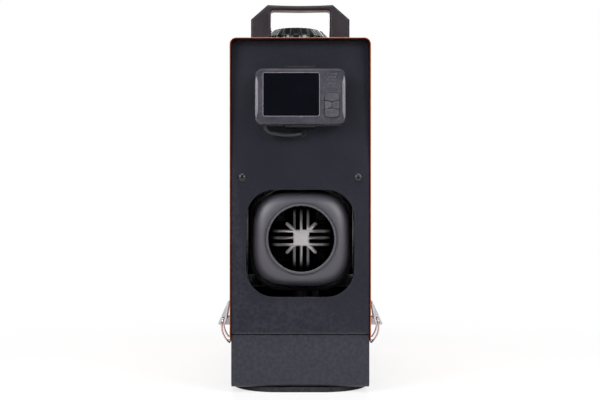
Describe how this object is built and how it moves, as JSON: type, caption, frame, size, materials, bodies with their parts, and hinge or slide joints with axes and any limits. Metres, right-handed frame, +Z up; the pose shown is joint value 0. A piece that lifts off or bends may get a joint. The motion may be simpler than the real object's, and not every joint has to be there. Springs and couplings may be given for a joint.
{
  "type": "diesel air heater",
  "caption": "Portable diesel air heater in a tall folded steel case, with a round duct outlet, clip-on controller, carrying handle, fuel cap and side toggle latches.",
  "frame": {"origin": "on the floor, under the middle of the machine's box", "axes": "+Z up; the duct outlet and controller face -Y; +X is to the right of someone who looks along +Y"},
  "size_m": [0.181, 0.4228, 0.444],
  "materials": {
    "orange_paint": "satin powder coat",
    "black_paint": "fine-textured satin powder coat",
    "black_plastic": "satin moulded plastic",
    "grey_plastic": "satin moulded plastic",
    "key_plastic": "silicone keys",
    "screen": "clear gloss over black",
    "circuit_board": "solder mask",
    "cast_aluminium": "as cast",
    "bright_steel": "bright plated",
    "zinc_steel": "zinc plated",
    "black_steel": "black oxide",
    "stainless": "drawn tube",
    "rubber": "matt",
    "tank_plastic": "blow moulded",
    "brass": "turned"
  },
  "bodies": {
    "case": {"shell": "orange_paint", "front_panel": "black_paint", "rear_panel": "black_paint", "base_tray": "black_paint", "foot_plate": "rubber", "panel_crossbar": "zinc_steel", "panel_screw_left": "black_steel", "panel_screw_right": "black_steel", "handle_bolt_left": "zinc_steel", "handle_bolt_right": "zinc_steel", "handle": "black_plastic", "fuel_tank": "tank_plastic", "neck_gasket": "rubber", "controller_bracket": "black_plastic", "controller_back": "grey_plastic", "controller_front": "grey_plastic", "controller_screen": "screen", "controller_board": "circuit_board", "lead_grommet": "rubber", "controller_lead": "rubber", "outlet_nozzle": "grey_plastic", "casing_upper": "black_plastic", "casing_lower": "black_plastic", "heat_exchanger": "cast_aluminium", "burner_tube": "stainless", "glow_plug": "stainless", "blower_housing": "cast_aluminium", "motor_body": "zinc_steel", "intake_guard": "black_plastic", "control_unit": "black_plastic", "inner_frame": "zinc_steel", "heater_shelf": "zinc_steel", "exhaust_pipe": "stainless", "exhaust_clamp": "zinc_steel", "intake_hose": "rubber", "power_gland": "black_plastic", "fuel_pump": "zinc_steel", "pump_mount": "rubber", "fuel_filter": "grey_plastic", "hose_from_tank": "rubber", "hose_to_pump": "rubber", "hose_to_burner": "rubber", "latch_bracket_left": "zinc_steel", "latch_catch_left": "zinc_steel", "latch_bracket_right": "zinc_steel", "latch_catch_right": "zinc_steel"},
    "cap_carrier": {"cap_seal": "rubber"},
    "cap": {"fuel_cap": "black_plastic"},
    "up_key": {"key_up": "key_plastic"},
    "down_key": {"key_down": "key_plastic"},
    "left_key": {"key_left": "key_plastic"},
    "right_key": {"key_right": "key_plastic"},
    "lever_left": {"latch_lever_left": "bright_steel"},
    "bail_left": {"latch_bail_left": "bright_steel"},
    "lever_right": {"latch_lever_right": "bright_steel"},
    "bail_right": {"latch_bail_right": "bright_steel"},
    "fan_rotor": {"fan_shaft": "bright_steel", "fan_wheel": "black_plastic", "blower_wheel": "black_plastic"},
    "plunger": {"pump_plunger": "brass"}
  },
  "joints": [
    {"name": "cap_lift", "type": "slide", "parent": "case", "child": "cap_carrier", "axis": [0, 0, 1], "range_m": [0, 0.00901]},
    {"name": "cap_turn", "type": "hinge", "parent": "cap_carrier", "child": "cap", "pos_m": [-0.0055, 0.05489, 0.404], "axis": [0, 0, 1], "range_deg": [0, 540]},
    {"name": "key_up_press", "type": "slide", "parent": "case", "child": "up_key", "axis": [0, 0.9973, -0.0731], "range_m": [0, 0.0006], "stiffness_N_per_m": 1500},
    {"name": "key_down_press", "type": "slide", "parent": "case", "child": "down_key", "axis": [0, 0.9973, -0.0731], "range_m": [0, 0.0006], "stiffness_N_per_m": 1500},
    {"name": "key_left_press", "type": "slide", "parent": "case", "child": "left_key", "axis": [0, 0.9973, -0.0731], "range_m": [0, 0.0006], "stiffness_N_per_m": 1500},
    {"name": "key_right_press", "type": "slide", "parent": "case", "child": "right_key", "axis": [0, 0.9973, -0.0731], "range_m": [0, 0.0006], "stiffness_N_per_m": 1500},
    {"name": "latch_left_open", "type": "hinge", "parent": "case", "child": "lever_left", "pos_m": [-0.0858, -0.14011, 0.0697], "axis": [0, -1, 0], "range_deg": [0, 110]},
    {"name": "bail_left_swing", "type": "hinge", "parent": "lever_left", "child": "bail_left", "pos_m": [-0.0844, -0.14011, 0.075], "axis": [0, -1, 0], "range_deg": [-110, 0]},
    {"name": "latch_right_open", "type": "hinge", "parent": "case", "child": "lever_right", "pos_m": [0.0858, -0.14011, 0.0697], "axis": [0, 1, 0], "range_deg": [0, 110]},
    {"name": "bail_right_swing", "type": "hinge", "parent": "lever_right", "child": "bail_right", "pos_m": [0.0844, -0.14011, 0.075], "axis": [0, 1, 0], "range_deg": [-110, 0]},
    {"name": "fan_spin", "type": "hinge", "parent": "case", "child": "fan_rotor", "pos_m": [0.001, 0.1, 0.1632], "axis": [0, 1, 0], "continuous": true},
    {"name": "plunger_stroke", "type": "slide", "parent": "case", "child": "plunger", "axis": [0, 1, 0], "range_m": [0, 0.002], "stiffness_N_per_m": 500}
  ],
  "couplings": [
    {"joint": "cap_lift", "follows": "cap_turn", "m_per_rad": 0.00095493},
    {"joint": "bail_left_swing", "follows": "latch_left_open", "ratio": -1},
    {"joint": "bail_right_swing", "follows": "latch_right_open", "ratio": -1}
  ]
}
